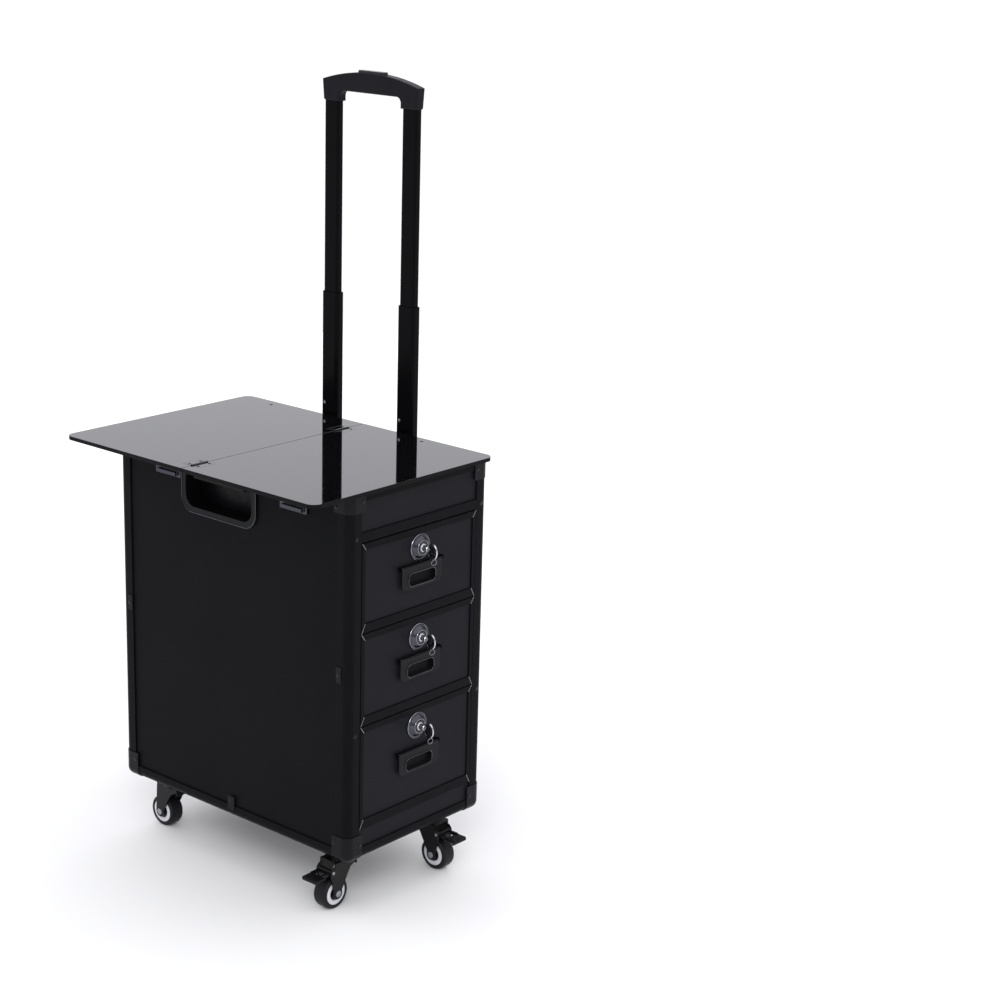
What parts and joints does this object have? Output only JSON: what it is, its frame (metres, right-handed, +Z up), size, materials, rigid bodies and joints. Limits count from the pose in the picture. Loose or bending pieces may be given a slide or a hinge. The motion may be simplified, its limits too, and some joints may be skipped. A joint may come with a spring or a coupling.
{
  "type": "portable manicure table",
  "caption": "Rolling manicure table: a tall case with locking drawers, a fold-out glossy top, a recessed carry handle, swivel casters and a telescopic pull handle.",
  "frame": {"origin": "on the floor, under the centre of the bounding box", "axes": "+Z up; -Y is the drawer side, -X the side with the recessed carry handle, and +X the side with the telescopic pull handle"},
  "size_m": [0.3984, 0.5325, 1.1795],
  "materials": {
    "black_profile": "satin black powder coat on aluminium",
    "black_cap": "semi-gloss black",
    "laminate_board": "fine-grained black laminate",
    "bare_board": "dark melamine",
    "table_gloss": "polished black",
    "drawer_tray": "matt black",
    "black_nickel": "black nickel, polished",
    "steel": "zinc plated",
    "runner_alloy": "mill finish",
    "bright_screw": "nickel plated",
    "handle_tube": "dark anodised",
    "grip_plastic": "fine grained",
    "button_plastic": "smooth",
    "caster_metal": "black",
    "wheel_rubber": "matt tread with a grey hub ring",
    "pedal_plastic": "satin"
  },
  "bodies": {
    "case": {"corner_posts": "black_profile", "edge_rails": "black_profile", "corner_caps": "black_cap", "joint_clips_and_rivets": "bright_screw", "left_side_panel": "laminate_board", "right_side_panel": "laminate_board", "back_panel": "laminate_board", "top_fascia_panel": "laminate_board", "kick_panel": "laminate_board", "base_board": "bare_board", "top_deck": "bare_board", "drawer_cross_rails": "black_profile", "carry_handle_cup": "black_nickel", "lid_catches": "black_nickel", "drawer_runner_tracks": "runner_alloy", "table_fixed_leaf": "table_gloss", "fixed_hinge_plates": "steel", "outer_handle_tubes": "handle_tube", "handle_tube_brackets": "black_profile", "caster_plates": "caster_metal"},
    "drawer_1": {"drawer_1_front_frame": "black_profile", "drawer_1_front_panel": "laminate_board", "drawer_1_tray": "drawer_tray", "drawer_1_runners": "runner_alloy", "drawer_1_lock": "black_nickel", "drawer_1_pull_bracket": "black_cap"},
    "key_1": {"drawer_1_key": "bright_screw"},
    "pull_1": {"drawer_1_pull": "black_cap"},
    "drawer_2": {"drawer_2_front_frame": "black_profile", "drawer_2_front_panel": "laminate_board", "drawer_2_tray": "drawer_tray", "drawer_2_runners": "runner_alloy", "drawer_2_lock": "black_nickel", "drawer_2_pull_bracket": "black_cap"},
    "key_2": {"drawer_2_key": "bright_screw"},
    "pull_2": {"drawer_2_pull": "black_cap"},
    "drawer_3": {"drawer_3_front_frame": "black_profile", "drawer_3_front_panel": "laminate_board", "drawer_3_tray": "drawer_tray", "drawer_3_runners": "runner_alloy", "drawer_3_lock": "black_nickel", "drawer_3_pull_bracket": "black_cap"},
    "key_3": {"drawer_3_key": "bright_screw"},
    "pull_3": {"drawer_3_pull": "black_cap"},
    "folding_leaf": {"table_folding_leaf": "table_gloss", "moving_hinge_plates": "steel"},
    "middle_tubes": {"middle_handle_tubes": "handle_tube"},
    "inner_tubes": {"inner_handle_tubes": "handle_tube", "handle_grip": "grip_plastic"},
    "button": {"release_button": "button_plastic"},
    "front_left_fork": {"front_left_caster_fork": "caster_metal"},
    "front_left_wheel": {"front_left_caster_wheel": "wheel_rubber"},
    "front_left_pedal": {"front_left_brake_pedal": "pedal_plastic"},
    "front_right_fork": {"front_right_caster_fork": "caster_metal"},
    "front_right_wheel": {"front_right_caster_wheel": "wheel_rubber"},
    "front_right_pedal": {"front_right_brake_pedal": "pedal_plastic"},
    "rear_left_fork": {"rear_left_caster_fork": "caster_metal"},
    "rear_left_wheel": {"rear_left_caster_wheel": "wheel_rubber"},
    "rear_right_fork": {"rear_right_caster_fork": "caster_metal"},
    "rear_right_wheel": {"rear_right_caster_wheel": "wheel_rubber"}
  },
  "joints": [
    {"name": "drawer_1_slide", "type": "slide", "parent": "case", "child": "drawer_1", "axis": [0, -1, 0], "range_m": [0, 0.32]},
    {"name": "key_1_turn", "type": "hinge", "parent": "drawer_1", "child": "key_1", "pos_m": [0.03175, -0.23375, 0.5405], "axis": [0, -1, 0], "range_deg": [0, 90]},
    {"name": "pull_1_swing", "type": "hinge", "parent": "drawer_1", "child": "pull_1", "pos_m": [0.03175, -0.23795, 0.517], "axis": [-1, 0, 0], "range_deg": [0, 80]},
    {"name": "drawer_2_slide", "type": "slide", "parent": "case", "child": "drawer_2", "axis": [0, -1, 0], "range_m": [0, 0.32]},
    {"name": "key_2_turn", "type": "hinge", "parent": "drawer_2", "child": "key_2", "pos_m": [0.03175, -0.23375, 0.4055], "axis": [0, -1, 0], "range_deg": [0, 90]},
    {"name": "pull_2_swing", "type": "hinge", "parent": "drawer_2", "child": "pull_2", "pos_m": [0.03175, -0.23795, 0.3795], "axis": [-1, 0, 0], "range_deg": [0, 80]},
    {"name": "drawer_3_slide", "type": "slide", "parent": "case", "child": "drawer_3", "axis": [0, -1, 0], "range_m": [0, 0.32]},
    {"name": "key_3_turn", "type": "hinge", "parent": "drawer_3", "child": "key_3", "pos_m": [0.03175, -0.23375, 0.2685], "axis": [0, -1, 0], "range_deg": [0, 90]},
    {"name": "pull_3_swing", "type": "hinge", "parent": "drawer_3", "child": "pull_3", "pos_m": [0.03175, -0.23795, 0.234], "axis": [-1, 0, 0], "range_deg": [0, 80]},
    {"name": "table_fold", "type": "hinge", "parent": "case", "child": "folding_leaf", "pos_m": [-0.02275, 0.01025, 0.6523], "axis": [1, 0, 0], "range_deg": [0, 180]},
    {"name": "middle_tubes_slide", "type": "slide", "parent": "case", "child": "middle_tubes", "axis": [0, 0, -1], "range_m": [0, 0.188]},
    {"name": "inner_tubes_slide", "type": "slide", "parent": "middle_tubes", "child": "inner_tubes", "axis": [0, 0, -1], "range_m": [0, 0.278]},
    {"name": "button_press", "type": "slide", "parent": "inner_tubes", "child": "button", "axis": [0, 0, -1], "range_m": [0, 0.004], "stiffness_N_per_m": 800, "springref_m": -0.003},
    {"name": "front_left_swivel", "type": "hinge", "parent": "case", "child": "front_left_fork", "pos_m": [-0.05825, -0.17375, 0.08], "axis": [0, 0, 1], "continuous": true},
    {"name": "front_left_roll", "type": "hinge", "parent": "front_left_fork", "child": "front_left_wheel", "pos_m": [-0.08425, -0.17375, 0.025], "axis": [0, 1, 0], "continuous": true},
    {"name": "front_left_brake", "type": "hinge", "parent": "front_left_fork", "child": "front_left_pedal", "pos_m": [-0.09425, -0.17375, 0.061], "axis": [0, -1, 0], "range_deg": [0, 10]},
    {"name": "front_right_swivel", "type": "hinge", "parent": "case", "child": "front_right_fork", "pos_m": [0.12175, -0.17375, 0.08], "axis": [0, 0, 1], "continuous": true},
    {"name": "front_right_roll", "type": "hinge", "parent": "front_right_fork", "child": "front_right_wheel", "pos_m": [0.12175, -0.19975, 0.025], "axis": [1, 0, 0], "continuous": true},
    {"name": "front_right_brake", "type": "hinge", "parent": "front_right_fork", "child": "front_right_pedal", "pos_m": [0.12175, -0.20975, 0.061], "axis": [1, 0, 0], "range_deg": [0, 10]},
    {"name": "rear_left_swivel", "type": "hinge", "parent": "case", "child": "rear_left_fork", "pos_m": [-0.05825, 0.18825, 0.08], "axis": [0, 0, 1], "continuous": true},
    {"name": "rear_left_roll", "type": "hinge", "parent": "rear_left_fork", "child": "rear_left_wheel", "pos_m": [-0.05825, 0.21425, 0.025], "axis": [1, 0, 0], "continuous": true},
    {"name": "rear_right_swivel", "type": "hinge", "parent": "case", "child": "rear_right_fork", "pos_m": [0.12175, 0.18825, 0.08], "axis": [0, 0, 1], "continuous": true},
    {"name": "rear_right_roll", "type": "hinge", "parent": "rear_right_fork", "child": "rear_right_wheel", "pos_m": [0.12175, 0.21425, 0.025], "axis": [1, 0, 0], "continuous": true}
  ]
}
